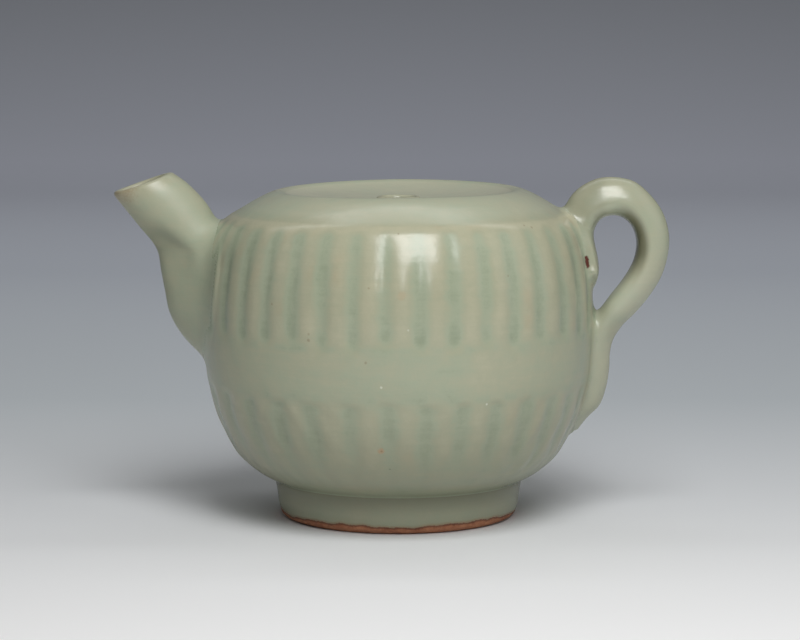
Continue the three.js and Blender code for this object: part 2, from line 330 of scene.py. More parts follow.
def smooth_outline():
    """The outline from the foot's contact ring to the filling hole, softened at its corners by the glaze"""
    lip_radius = LIP_WALL / 2
    lip_middle = LIP_RADIUS - lip_radius
    turn = np.linspace(0, math.pi, 14)
    lip = [lip_middle + lip_radius * np.cos(turn), LIP_HIGH - lip_radius * (1 - np.sin(turn))]
    bevel_foot = FOOT_RADIUS - FOOT_BEVEL_WIDTH
    contact = bevel_foot - FOOT_UNDERCUT_WIDTH
    widest = (BODY_RADIUS, WIDEST_HEIGHT)
    shoulder = (SHOULDER_RADIUS, SHOULDER_HEIGHT)
    parts = [
        # points, then how far the glaze softens them
        ([(contact - CONTACT_WIDTH, 0), (contact, 0)], 0.1),
        ([(bevel_foot, FOOT_UNDERCUT_HEIGHT)], 0.15),
        ([(FOOT_RADIUS - FOOT_BEVEL_WIDTH / 3, FOOT_BEVEL_HEIGHT / 2)], 0.3),
        ([(FOOT_RADIUS, FOOT_BEVEL_HEIGHT)], 0.3),
        (bezier((FOOT_TOP_RADIUS, FOOT_HEIGHT), widest, LOWER_SWELL_SHARES), 0.75),
        (bezier(widest, shoulder, UPPER_SWELL_SHARES), 0.9),
        (bezier(shoulder, (RIM_RADIUS, RIM_HEIGHT), SHOULDER_SHARES), 0.9),
        (bezier((TOP_RADIUS, RIM_EDGE_HEIGHT), (LIP_RADIUS, LIP_LOW), DISH_SHARES), 0.7),
        (np.column_stack(lip), 0.15),
        ([(HOLE_RADIUS, TOP_UNDERSIDE)], 0.15),
    ]
    line = np.vstack([np.column_stack([points, np.full(len(points), soft)]) for points, soft in parts])
    line = resampled(line, LINE_STEP)
    along = lengths_along(line[:, :2])
    weights = np.exp(-(((along[:, None] - along[None, :]) / line[:, 2:3]) ** 2) / 2)
    soft = weights @ line[:, :2] / weights.sum(1)[:, None]
    # The two ends keep their place
    ends = smoothstep(np.minimum(along, along[-1] - along), 0, 1)[:, None]
    return soft * ends + line[:, :2] * (1 - ends)


OUTLINE = smooth_outline()


def outline_place(radius, height):
    """The index on the outline nearest to a place"""
    return int(np.argmin(np.hypot(OUTLINE[:, 0] - radius, OUTLINE[:, 1] - height)))


def rows_between(first, last):
    """Rows of the outline from one index to another, closer together where it turns"""
    line = OUTLINE[first:last + 1]
    along = lengths_along(line)
    heading = np.unwrap(np.arctan2(np.gradient(line[:, 1]), np.gradient(line[:, 0])))
    turning = np.abs(np.gradient(heading, along))
    spacing = np.clip(TURN_PER_ROW / np.maximum(turning, 1e-6), SHORTEST_ROW, ROW_LENGTH)
    # The rows next to a joint lie close to it, so that the light runs on over it unbroken
    spacing = np.minimum(spacing, np.minimum(along, along[-1] - along) / 2 + SHORTEST_ROW)
    count = np.concatenate([[0], np.cumsum(np.diff(along) * 2 / (spacing[1:] + spacing[:-1]))])
    places = np.interp(np.linspace(0, count[-1], math.ceil(count[-1]) + 1), count, along)
    return np.column_stack([np.interp(places, along, line[:, i]) for i in range(2)])


def wall_radius(height):
    """The radius of the body's outer wall at a height between the foot and the shoulder"""
    low = outline_place(FOOT_TOP_RADIUS, FOOT_HEIGHT)
    high = outline_place(SHOULDER_RADIUS, SHOULDER_HEIGHT)
    return float(np.interp(height, OUTLINE[low:high, 1], OUTLINE[low:high, 0]))


# Body

def groove(ribs, angle, height):
    """How deep the surface lies in a groove between two ribs, from 0 to 1"""
    pitch = FULL_TURN / ribs["count"]
    crowding = ribs["crowd"] * np.sin(angle) + ribs["lean"] * (1 - np.cos(angle))
    wander = RIB_WANDER * unevenness(angle, height, ribs["count"], (2, 12), 160)
    place = (angle - ribs["first"]) / pitch + crowding + wander
    away = place - np.round(place)
    crown = (1 + np.cos(FULL_TURN * away)) / 2
    return (1 - CROWN_SHARE) * np.exp(-(away / GROOVE_WIDTH_SHARE) ** 2) + CROWN_SHARE * crown


def groove_depth(angle, height):
    """The grooves of both moulds, each within its own heights"""
    end = GROOVE_END_WANDER * unevenness(angle, 0 * height, 5, (9, 30), 100)
    low, high = UPPER_RIBS["low"], UPPER_RIBS["high"]
    upper = smoothstep(height, low - 1 + end, low + RIB_RAMP * 2 + end)
    upper = upper * (1 - smoothstep(height, high - RIB_RAMP * 1.6, high + GROOVE_OVERRUN))
    low, high = LOWER_RIBS["low"], LOWER_RIBS["high"]
    lower = np.clip((height - low) / RIB_FADE, 0, 1)
    lower = lower * (1 - smoothstep(height, high - RIB_RAMP + end / 2, high + GROOVE_OVERRUN + end / 2))
    return groove(UPPER_RIBS, angle, height) * upper + groove(LOWER_RIBS, angle, height) * lower


def drawn_in(angles, height):
    """How far the lower bowl is drawn in on both its sides"""
    low, middle, high = BOWL_DRAW_HEIGHTS
    drawn = smoothstep(height, low, middle) * smoothstep(height, high, middle)
    left, right = BOWL_DRAWS
    return drawn * (left * np.clip(-np.sin(angles), 0, 1) + right * np.clip(np.sin(angles), 0, 1))


def wall_depth(radius, height, angles):
    """How far the grooves and the unevenness of the potter's hand take the wall in"""
    free = smoothstep(height, FOOT_HEIGHT, FOOT_HEIGHT + FREE_ABOVE_FOOT)
    free = free * smoothstep(radius, RIM_RADIUS, SHOULDER_RADIUS)
    worn = 1 + WORN_SHARE * unevenness(angles, height, 3, (5, 40), 45)
    lower = smoothstep(height, LOWER_RIBS["high"] + 1, LOWER_RIBS["high"] - 3)
    knobs = unevenness(angles, height, 8, (30, 60), 11, 0.15) * KNOB_HEIGHT * lower
    swell = unevenness(angles, height, 4, (2, 7), 90) * SWELL_HEIGHT
    relief = 1 - TOP_SHALLOWS * smoothstep(height, UPPER_RIBS["high"] - SHALLOW_REACH, UPPER_RIBS["high"])
    depth = RIB_DEPTH * groove_depth(angles, height) * worn * relief + (knobs - swell) * free
    return depth + drawn_in(angles, height)


def body_points(rows, angles, ribbed=True):
    """Rings of the body's surface, one to a row"""
    radius, height = rows[:, 0:1], rows[:, 1:2]
    depth = wall_depth(radius, height, angles) if ribbed else 0 * (radius + angles)
    out = radius - depth
    return settled(np.stack([out * np.sin(angles), -out * np.cos(angles), height + 0 * out], axis=2))


def settled(points):
    """Lets the shoulder and rim sag towards the spout and stand up behind"""
    points = points.copy()
    radius = np.maximum(np.hypot(points[..., 0], points[..., 1]), 1e-6)
    left, behind = (np.clip(side / radius, 0, 1) for side in (-points[..., 0], points[..., 1]))
    share = smoothstep(points[..., 2], *SAG_HEIGHTS) * smoothstep(radius, STILL_RADIUS, TOP_RADIUS)
    points[..., 2] += share * (RIM_LIFT * behind - SHOULDER_SAG * left)
    return points


def plain_rings(rows, sides):
    """Rings of a smooth turned surface, or a single point on the axis"""
    angles = np.arange(sides) * FULL_TURN / sides
    return [
        np.array([(0, 0, height)]) if radius == 0
        else np.column_stack([radius * np.sin(angles), -radius * np.cos(angles), np.full(sides, height)])
        for radius, height in rows
    ]


def inner_wall(low, high, count):
    """Rows of the body's inner wall between two heights, rising"""
    line = np.vstack([
        bezier((FOOT_TOP_RADIUS, FOOT_HEIGHT), (BODY_RADIUS, WIDEST_HEIGHT), LOWER_SWELL_SHARES),
        bezier((BODY_RADIUS, WIDEST_HEIGHT), (SHOULDER_RADIUS, SHOULDER_HEIGHT), UPPER_SWELL_SHARES)[1:],
    ])
    heading = np.gradient(line, axis=0)
    heading /= np.linalg.norm(heading, axis=1)[:, None]
    inside = line + np.column_stack([-heading[:, 1], heading[:, 0]]) * WALL
    heights = np.linspace(max(low, inside[0, 1]), high, count)
    return np.column_stack([np.interp(heights, inside[:, 1], inside[:, 0]), heights])


# Joints: both surfaces move on to one smooth skin near the line where they meet

class Skin:
    """A surface through closed rings that tells how far outside it a point lies, and which way is out"""

    def __init__(self, rings):
        rows, sides, _ = rings.shape
        index = np.arange(rows * sides).reshape(rows, sides)
        after = np.roll(index, -1, axis=1)
        quads = np.stack([index[:-1], after[:-1], after[1:], index[1:]], axis=2).reshape(-1, 4)
        points = rings.reshape(-1, 3)
        corners = points[quads]
        facing = np.cross(corners[:, 2] - corners[:, 0], corners[:, 3] - corners[:, 1])
        from_middle = corners[:, 0] - np.repeat(rings[:-1].mean(1), sides, axis=0)
        if (facing * from_middle).sum() < 0:
            quads = quads[:, ::-1]
        self.tree = BVHTree.FromPolygons(points.tolist(), quads.tolist())

    def measure(self, points, reach):
        """Distances outside the skin, and outward directions; what lies beyond reach counts as that far"""
        distance = np.full(len(points), float(reach))
        out = np.zeros((len(points), 3))
        for i, point in enumerate(points):
            place, normal, _, gap = self.tree.find_nearest(point, reach)
            if place is not None:
                across = point - np.array(place)
                side = 1 if across @ np.array(normal) >= 0 else -1
                distance[i] = side * gap
                out[i] = across / gap * side if gap > LEAST_GAP else normal
        return distance, out


def joined(points, own, other, width, reach=JOIN_REACH):
    """Moves points of one skin on to its smooth join with another, and gives their distance from it too"""
    flat = points.reshape(-1, 3).copy()
    width = width.reshape(-1)
    apart, _ = other.measure(flat, reach)
    near = np.nonzero(np.abs(apart) < width)[0]
    share = np.clip(0.5 + 0.5 * apart[near] / width[near], 0, 1)
    keep = smoothstep(share, 0, 0.5)[:, None]
    start = flat[near].copy()
    moving = start.copy()
    for _ in range(JOIN_STEPS):
        own_gap, own_out = own.measure(moving, reach)
        other_gap, other_out = other.measure(moving, reach)
        blend = np.clip(0.5 + 0.5 * (other_gap - own_gap) / width[near], 0, 1)
        gap = own_gap * blend + other_gap * (1 - blend) - width[near] * blend * (1 - blend)
        out = own_out * blend[:, None] + other_out * (1 - blend)[:, None]
        slope = np.maximum(np.linalg.norm(out, axis=1), LEAST_SLOPE)
        moving -= out * (gap / slope ** 2)[:, None]
    flat[near] = start + (moving - start) * keep
    return flat.reshape(points.shape), apart.reshape(points.shape[:-1])


def joint_width(widths, height):
    """How wide a joint is rounded off at a height, given its width low down and at the shoulder"""
    low, high = widths
    return low + (high - low) * smoothstep(height, *JOINT_CHANGE)


# Spout

def spout_sections(count):
    """Sections from the root to the mouth: the under line's place and the upper line's, each as distance
    out and height in the upright plane, then the width"""
    tip = SPOUT_REACH + TIP_OVERRUN
    lines = (
        (SPOUT_UNDER_SHARES, SPOUT_ROOT_LOW, (tip, SPOUT_TIP_HEIGHT)),
        (SPOUT_UPPER_SHARES, SPOUT_ROOT_HIGH, (tip - SPOUT_MOUTH_LENGTH, SPOUT_BACK_HEIGHT)),
    )
    columns = []
    for shares, root_height, mouth in lines:
        root = np.array((wall_radius(root_height) - WALL / 2, root_height))
        columns.append(root + (np.array(mouth) - root) * np.array(shares))
    widths = SPOUT_MOUTH_WIDTH + (SPOUT_ROOT_WIDTH - SPOUT_MOUTH_WIDTH) * np.array(SPOUT_WIDTH_SHARES)
    return spline(np.column_stack([*columns, widths]), count)


def hollow_share(places):
    """How far the hollow under the spout's bend draws its sides in at places in the upright plane"""
    start, end = np.array(HOLLOW_START), np.array(HOLLOW_END)
    line = end - start
    along = np.clip((places - start) @ line / (line @ line), 0, 1)
    gap = places - start - along[..., None] * line
    below, above = HOLLOW_REACHES
    aside = gap @ np.array([line[1], -line[0]]) / np.linalg.norm(line)
    reach = below + (above - below) * smoothstep(aside, -HOLLOW_BLEND, HOLLOW_BLEND)
    near = np.exp(-(np.linalg.norm(gap, axis=-1) / reach) ** 2)
    return smoothstep(places[..., 0], *HOLLOW_CLEARS) * near


def spout_rings(stations, inset, sides):
    """Rings round the spout, at shares of the way to its mouth and at depths in its wall"""
    sections = spout_sections(SPOUT_SECTIONS)
    stations, inset = np.array(stations), np.array(inset, float)
    places = np.linspace(0, 1, SPOUT_SECTIONS)
    sections = np.column_stack([np.interp(stations, places, column) for column in sections.T])
    low, high, width = sections[:, :2], sections[:, 2:4], sections[:, 4]
    half = (high - low) / 2
    half *= (1 - inset / np.linalg.norm(half, axis=1))[:, None]
    turn = np.arange(sides) * FULL_TURN / sides
    plane = ((low + high) / 2)[:, None] + half[:, None] * np.cos(turn)[:, None]
    keel = SPOUT_KEEL * smoothstep(stations, 0.9, 0.3)[:, None] * np.cos(turn)
    plane[..., 1] += MOUTH_DIP * smoothstep(stations, 0.85, 1)[:, None] * np.minimum(np.sin(turn), 0)
    # Towards its root the spout is flatter in front
    flatness = 1 - SPOUT_FLATNESS * smoothstep(stations, 0.7, 0.3)[:, None]
    around = np.sign(np.sin(turn)) * np.abs(np.sin(turn)) ** flatness
    depth = (width / 2 - inset)[:, None] * around * (1 + keel)
    depth *= 1 - HOLLOW_DEPTH_SHARE * hollow_share(plane)
    return np.stack([-plane[..., 0], depth, plane[..., 1]], axis=2)


# Handle

def handle_rings(rows, sides):
    """Rings round the coil, each between its edge towards the loop and its outer edge"""
    start = np.array([BODY_RADIUS, HANDLE_LOW] * 2)
    span = np.array([HANDLE_REACH - BODY_RADIUS, HANDLE_TOP - HANDLE_LOW] * 2)
    edges = spline(start + span * np.array(HANDLE_SECTION_SHARES), rows)
    middle = (edges[:, :2] + edges[:, 2:]) / 2
    half = (edges[:, 2:] - edges[:, :2]) / 2
    turn = np.arange(sides) * FULL_TURN / sides
    # The coil is fullest on the loop's side of its middle
    across = np.cos(turn) - HANDLE_BELLY_SHARE * np.sin(turn) ** 2
    plane = middle[:, None] + half[:, None] * across[:, None]
    # Where the coil is pressed thinner it spreads wider
    thin = np.linalg.norm(half, axis=1)
    low, high = COIL_SPREADS
    spread = low + (high - low) * smoothstep(middle[:, 1], *SPREAD_CHANGE)
    spread = COIL_RADIUS + spread * np.maximum(PRESSED_THICKNESS - thin, 0)
    depth = (spread * smoothstep(thin, 0, COIL_RADIUS / 3))[:, None] * np.sin(turn)
    return np.stack([plane[..., 0], depth + HANDLE_SHIFT, plane[..., 1]], axis=2)


# Meshes

# What each point says of its glaze, with the values where nothing shows: how much of it pools there,
# how thin it runs, how far on to the bare clay the point lies, how much painted shade darkens it,
# how dull it has fired, and how much painted light makes it paler
MARKS = {"pool": 0, "thin": 0, "bare": -4, "painted_shade": 0, "dull": 0, "pale": 0}


def placed(points):
    """Points of the vessel in the frame's metres"""
    return (np.asarray(points) + (AXIS_X, 0, 0)) * MM


def ring_faces(rings, closes):
    """Faces from each ring to the next, and from the last to the first if they close"""
    starts = np.cumsum([0, *(len(ring) for ring in rings)])
    pairs = list(zip(range(len(rings)), range(1, len(rings))))
    if closes:
        pairs.append((len(rings) - 1, 0))
    faces = []
    for first, second in pairs:
        a, b = (starts[i] + np.arange(len(rings[i])) for i in (first, second))
        if len(a) == 1:
            faces.append(np.stack([np.full(len(b), a[0]), b, np.roll(b, -1)], axis=1))
        elif len(b) == 1:
            faces.append(np.stack([a, np.full(len(a), b[0]), np.roll(a, -1)], axis=1))
        else:
            faces.append(np.stack([a, b, np.roll(b, -1), np.roll(a, -1)], axis=1))
    return [face for block in faces for face in block.tolist()]


def piece(name, rings, closes, marks, material, slot, *nodes):
    """A mesh through rings of points, or single points at its poles, with its marks for the glaze"""
    mesh = bpy.data.meshes.new(name)
    mesh.from_pydata(placed(np.vstack(rings)).tolist(), [], ring_faces(rings, closes))
    for mark in MARKS:
        values = np.concatenate([np.broadcast_to(ring, len(r)) for ring, r in zip(marks[mark], rings)])
        mesh.attributes.new(mark, "FLOAT", "POINT").data.foreach_set("value", values.astype(np.float32))
    mesh.update()
    obj = bpy.data.objects.new(name, mesh)
    bpy.context.scene.collection.objects.link(obj)
    face_outwards(mesh)
    mesh.shade_smooth()
    mesh.set_sharp_from_angle(angle=SHARP_ANGLE)
    mesh.materials.append(material)
    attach(obj, "root")
    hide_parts(*nodes)
    return obj


def face_outwards(mesh):
    """Turns every face of a closed mesh outwards"""
    shape = bmesh.new()
    shape.from_mesh(mesh)
    bmesh.ops.recalc_face_normals(shape, faces=shape.faces)
    if shape.calc_volume(signed=True) < 0:
        bmesh.ops.reverse_faces(shape, faces=shape.faces)
    shape.to_mesh(mesh)
    shape.free()


# Materials

def srgb(red, green, blue):
    """A colour as it looks on a screen, from 0 to 255, turned into the linear one that shaders take"""
    return [
        value / 255 / 12.92 if value / 255 <= 0.04045 else ((value / 255 + 0.055) / 1.055) ** 2.4
        for value in (red, green, blue)
    ] + [1]


CREAM = srgb(181, 178, 152)
BUFF = srgb(168, 169, 144)
CELADON = srgb(160, 168, 144)
SEA_GREEN = srgb(134, 147, 122)
# The colour that painted shade darkens the glaze towards
SHADE_OLIVE = srgb(116, 116, 94)
TAN = srgb(178, 160, 130)
CLAY = srgb(140, 84, 56)
PALE_CLAY = srgb(184, 128, 92)
BURNT = srgb(78, 38, 24)
RUST = srgb(150, 116, 82)
UMBER = srgb(122, 104, 76)
ORANGE = srgb(188, 134, 88)
MOSS = srgb(84, 92, 66)
# Pale specks, and the painted light that lightens the glaze, take this colour
PALE = srgb(226, 228, 212)
KILN_RED = srgb(84, 34, 22)

# Specks in the glaze: angle in degrees, height, size, strength and colour
FLECKS = (
    (-5.25, 23.3, 1.1, 0.45, ORANGE), (-5.1, 23.2, 0.45, 0.5, UMBER), (-2.75, 18.5, 0.4, 0.6, MOSS),
    (-25.75, 49.9, 0.5, 0.4, UMBER), (-25.6, 51.4, 0.4, 0.3, UMBER), (-9, 45.1, 0.45, 0.4, UMBER),
    (-8.25, 62.8, 0.4, 0.35, UMBER), (1, 61.1, 1.6, 0.14, ORANGE), (47.75, 75.6, 0.5, 0.4, UMBER),
    (45, 76.2, 0.4, 0.4, UMBER), (0, 75.3, 0.35, 0.5, UMBER), (18.75, 22.4, 0.4, 0.5, MOSS),
    (-4.75, 39.2, 0.38, 0.5, PALE), (26, 34.4, 0.38, 0.55, PALE), (2.75, 52.9, 0.38, 0.4, PALE),
    (33, 65, 0.4, 0.3, UMBER), (-38, 58, 0.45, 0.3, UMBER), (120, 44, 0.6, 0.4, UMBER),
    (205, 60, 0.5, 0.4, ORANGE),
)

# A slit that opened in the kiln between the body and the handle's strap, with its radius in each row
KILN_GAP = (
    (76.6, 66.4, 0.8, 1, KILN_RED, 48.05), (76.45, 65.8, 0.95, 1, KILN_RED, 48.1),
    (76.4, 65.1, 0.95, 1, KILN_RED, 48.2), (76.35, 64.4, 0.8, 1, KILN_RED, 48.4),
)

# The glaze's unevenness: each noise with its scale, detail, roughness and distortion
CLOUDS = (38, 3, 0.55, 0.4)
MOTTLE = (260, 3, 0.6)
GRAIN = (1700, 2, 0.5)
THROWING = (70, 3, 0.6)
THROWING_STRETCH = (1, 1, 9)
WARM_PATCHES = (75, 3, 0.6)
CLAY_GRAIN = (420, 4, 0.65)
RIPPLE = (90, 2)

# The tones from thin glaze to pooled glaze, where the plain glaze lies among them, and the bare clay's
GLAZE_TONES = ((0.0, CREAM), (0.34, BUFF), (0.56, CELADON), (1.0, SEA_GREEN))
GLAZE_LEVEL = 0.42
CLAY_TONES = ((0.3, CLAY), (0.7, PALE_CLAY))
GLAZE_INDEX = 1.55
GLOSS = 0.24
BUMP_STRENGTH = 0.35
BUMP_HEIGHT = 0.25


class Nodes:
    """A material's node tree, with short ways to add and join nodes"""

    def __init__(self, name):
        self.material = bpy.data.materials.new(name)
        self.material.use_nodes = True
        self.tree = self.material.node_tree
        self.shader = self.tree.nodes["Principled BSDF"]
        self.tree.nodes["Material Output"].location = (1200, 0)
        self.shader.location = (900, 0)
        self.column = 0

    def add(self, kind, inputs=(), **settings):
        node = self.tree.nodes.new(kind)
        self.column += 1
        node.location = (-1400 + 180 * (self.column % 12), 300 - 220 * (self.column // 12))
        for name, value in settings.items():
            setattr(node, name, value)
        for name, value in dict(inputs).items():
            self.put(node.inputs[name], value)
        return node

    def put(self, socket, value):
        if isinstance(value, bpy.types.NodeSocket):
            self.tree.links.new(value, socket)
        else:
            socket.default_value = value

    def math(self, operation, *values, clamp=False):
        node = self.add("ShaderNodeMath", dict(enumerate(values)), operation=operation, use_clamp=clamp)
        return node.outputs[0]

    def mark(self, name):
        return self.add("ShaderNodeAttribute", attribute_name=name).outputs["Fac"]

    def noise(self, scale, detail=2, roughness=0.5, distortion=0, vector=None):
        inputs = {
            "Vector": vector or self.place(), "Scale": scale, "Detail": detail,
            "Roughness": roughness, "Distortion": distortion,
        }
        return self.add("ShaderNodeTexNoise", inputs).outputs["Fac"]

    def uneven(self, settings, vector=None):
        """Noise that lies evenly about zero"""
        return self.math("SUBTRACT", self.noise(*settings, vector=vector), 0.5)

    def plus(self, value, *parts):
        """A value with others added to it, each times its share"""
        for part, share in parts:
            value = self.math("ADD", value, self.math("MULTIPLY", part, share))
        return value

    def place(self):
        if not hasattr(self, "coordinates"):
            self.coordinates = self.add("ShaderNodeTexCoord").outputs["Object"]
        return self.coordinates

    def step(self, value, start, end, low=0, high=1):
        inputs = {"Value": value, "From Min": start, "From Max": end, "To Min": low, "To Max": high}
        return self.add("ShaderNodeMapRange", inputs, interpolation_type="SMOOTHSTEP").outputs["Result"]

    def ramp(self, value, stops):
        node = self.add("ShaderNodeValToRGB", {"Fac": value})
        elements = node.color_ramp.elements
        while len(elements) < len(stops):
            elements.new(0.5)
        for element, (place, colour) in zip(elements, stops):
            element.position = place
            element.color = colour
        return node.outputs["Color"]

    def mix(self, share, first, second):
        node = self.add("ShaderNodeMix", data_type="RGBA")
        for index, value in ((0, share), (6, first), (7, second)):
            self.put(node.inputs[index], value)
        return node.outputs[2]


def glaze(name, tone=0.0, flecks=()):
    """Celadon glaze: creamy where thin, greener where it pools, worn through to clay where it is bare"""
    n = Nodes(name)
    thin = n.mark("thin")
    level = n.add("ShaderNodeMapping", {"Vector": n.place(), "Scale": THROWING_STRETCH}).outputs["Vector"]
    throwing = n.uneven(THROWING, level)
    clouds, mottle, grain = (n.uneven(settings) for settings in (CLOUDS, MOTTLE, GRAIN))
    depth = n.plus(
        GLAZE_LEVEL + tone, (n.mark("pool"), 0.28), (thin, -0.2), (clouds, 0.5), (mottle, 0.4),
        (throwing, 0.3), (grain, 0.16),
    )
    colour = n.ramp(depth, GLAZE_TONES)
    # Painted light lightens the glaze, and painted shade darkens it to olive
    colour = n.mix(n.mark("pale"), colour, PALE)
    colour = n.mix(n.mark("painted_shade"), colour, SHADE_OLIVE)
    patches = n.step(n.noise(*WARM_PATCHES), 0.5, 0.75)
    colour = n.mix(n.math("MULTIPLY", patches, n.math("MULTIPLY", thin, 0.4)), colour, TAN)
    for place, size, strength, tint in flecks:
        apart = n.add("ShaderNodeVectorMath", {0: n.place(), 1: place}, operation="DISTANCE").outputs["Value"]
        apart = n.plus(apart, (grain, size))
        colour = n.mix(n.step(apart, size, size / 3, 0, strength), colour, tint)
    edge = n.plus(n.mark("bare"), (n.math("ADD", mottle, grain), 0.6))
    open_clay = n.step(edge, -0.2, 0.16)
    n.put(n.shader.inputs["Base Color"], clay_edge(n, edge, open_clay, colour))
    roughness = n.plus(GLOSS, (mottle, 0.1), (n.mark("dull"), 0.3), (open_clay, 0.55))
    n.put(n.shader.inputs["Roughness"], roughness)
    n.shader.inputs["IOR"].default_value = GLAZE_INDEX
    relief = n.plus(
        n.math("MULTIPLY", mottle, 0.8), (n.noise(*RIPPLE), 1.4), (throwing, 0.5),
        (grain, n.plus(0.05, (open_clay, 1.2))),
    )
    bump = {"Height": relief, "Strength": BUMP_STRENGTH, "Distance": BUMP_HEIGHT * MM}
    n.put(n.shader.inputs["Normal"], n.add("ShaderNodeBump", bump).outputs["Normal"])
    return n.material


def clay_edge(n, edge, open_clay, colour):
    """Where the glaze runs out the clay turns rusty, then burnt, then bare"""
    burnt = n.math("MULTIPLY", n.step(edge, 0.75, 0.1), 0.75)
    clay = n.mix(burnt, n.ramp(n.noise(*CLAY_GRAIN), CLAY_TONES), BURNT)
    rusty = n.math("MULTIPLY", n.step(edge, -0.8, 0.1), 0.55)
    return n.mix(open_clay, n.mix(rusty, colour, RUST), clay)


# Stage

# The floor and the wall behind it, in metres: half the width, the front edge, where the floor starts to
# bend, the wall's top and the bend's radius
SWEEP_WIDTH = 3.0
SWEEP_FRONT = -2.6
SWEEP_BEND = 1.1
SWEEP_TOP = 2.4
SWEEP_CURVE = 0.6

# A few plain tones that the sweep runs through, by how far back they lie, with each metre up its wall
# counted as more; their darkening towards the back is painted shade
SWEEP_RISE = 2.2
SWEEP_TONES = (
    (-0.14, (243, 243, 243)), (0, (223, 225, 227)), (0.2, (193, 199, 203)), (0.6, (171, 176, 184)),
    (1.25, (170, 173, 183)), (1.8, (134, 137, 143)),
)

# Soft boxes that face the vessel: azimuth and elevation in degrees, distance, width and height in
# metres, and brightness; then the height of their aim
LAMPS = {
    "key": (11, 49, 0.6, 0.24, 0.46, 8.4),
    "glint": (4, 19.5, 0.6, 0.05, 0.1, 11),
    "left": (-75, 25, 0.9, 0.6, 0.9, 0.17),
    "right": (75, 25, 0.9, 0.6, 0.9, 0.46),
}
LAMP_AIM_HEIGHT = 0.05
ROOM_TINT = (1, 0.98, 0.97, 1)
ROOM_STRENGTH = 0.07


def sweep_colours(n):
    """The floor is pale in front and falls away to a slate blue behind, by its own place: painted shade"""
    place = n.add("ShaderNodeSeparateXYZ", {"Vector": n.place()})
    back = n.math("ADD", place.outputs["Y"], n.math("MULTIPLY", place.outputs["Z"], SWEEP_RISE))
    nearest, farthest = SWEEP_TONES[0][0], SWEEP_TONES[-1][0]
    node = n.add("ShaderNodeMapRange", {"Value": back, "From Min": nearest, "From Max": farthest})
    stops = [((metres - nearest) / (farthest - nearest), srgb(*tone)) for metres, tone in SWEEP_TONES]
    return n.ramp(node.outputs["Result"], stops)


def stage():
    """A pale sweep: a floor that curves up into a wall behind"""
    turn = np.linspace(0, math.pi / 2, 24)
    line = [(SWEEP_FRONT, 0), *[(y, 0) for y in np.linspace(-1.2, SWEEP_BEND, 40)]]
    line += [(SWEEP_BEND + SWEEP_CURVE * math.sin(a), SWEEP_CURVE * (1 - math.cos(a))) for a in turn[1:]]
    line += [(SWEEP_BEND + SWEEP_CURVE, SWEEP_TOP)]
    points = [(x, y, z) for y, z in line for x in (-SWEEP_WIDTH, SWEEP_WIDTH)]
    faces = [(2 * i, 2 * i + 1, 2 * i + 3, 2 * i + 2) for i in range(len(line) - 1)]
    mesh = bpy.data.meshes.new("sweep")
    mesh.from_pydata(points, [], faces)
    mesh.shade_smooth()
    n = Nodes("sweep")
    n.put(n.shader.inputs["Base Color"], sweep_colours(n))
    n.shader.inputs["Roughness"].default_value = 0.9
    n.shader.inputs["Specular IOR Level"].default_value = 0.15
    mesh.materials.append(n.material)
    obj = bpy.data.objects.new("sweep", mesh)
    bpy.context.scene.collection.objects.link(obj)


def lamp(name, place, aim, width, height, strength):
    """A soft box that faces its aim; its strength is how bright its face is"""
    data = bpy.data.lights.new(name, "AREA")
    data.shape = "RECTANGLE"
    data.size, data.size_y = width, height
    data.energy = strength * math.pi * width * height
    obj = bpy.data.objects.new(name, data)
    obj.location = place
    obj.rotation_euler = (aim - place).to_track_quat("-Z", "Y").to_euler()
    bpy.context.scene.collection.objects.link(obj)


def round_vessel(name, azimuth, elevation, distance, width, height, strength):
    """A soft box that faces the vessel's middle from an azimuth and an elevation in degrees"""
    a, e = math.radians(azimuth), math.radians(elevation)
    middle = Vector((AXIS_X * MM, 0, LAMP_AIM_HEIGHT))
    away = Vector((math.sin(a) * math.cos(e), -math.cos(a) * math.cos(e), math.sin(e)))
    lamp(name, middle + away * distance, middle, width, height, strength)


def light_up():
    """A tall soft box close by in front and above, with weak ones beside and behind"""
    for name, settings in LAMPS.items():
        round_vessel(name, *settings)
    lamp("backdrop", Vector((0, 0.45, 1)), Vector((0, 1.25, 0.4)), 1.6, 0.5, 3.5)
    world = bpy.data.worlds.new("room")
    world.use_nodes = True
    background = world.node_tree.nodes["Background"]
    background.inputs["Color"].default_value = ROOM_TINT
    background.inputs["Strength"].default_value = ROOM_STRENGTH
    bpy.context.scene.world = world


def camera():
    data = bpy.data.cameras.new("camera")
    data.lens = LENS
    eye = Vector(placed(EYE))
    aim = Vector(placed((EYE[0], 0, AIM_HEIGHT)))
    obj = bpy.data.objects.new("camera", data)
    obj.location = eye
    obj.rotation_euler = (aim - eye).to_track_quat("-Z", "Y").to_euler()
    bpy.context.scene.collection.objects.link(obj)
    bpy.context.scene.camera = obj
    bpy.context.scene.view_settings.view_transform = "Standard"


# The pieces

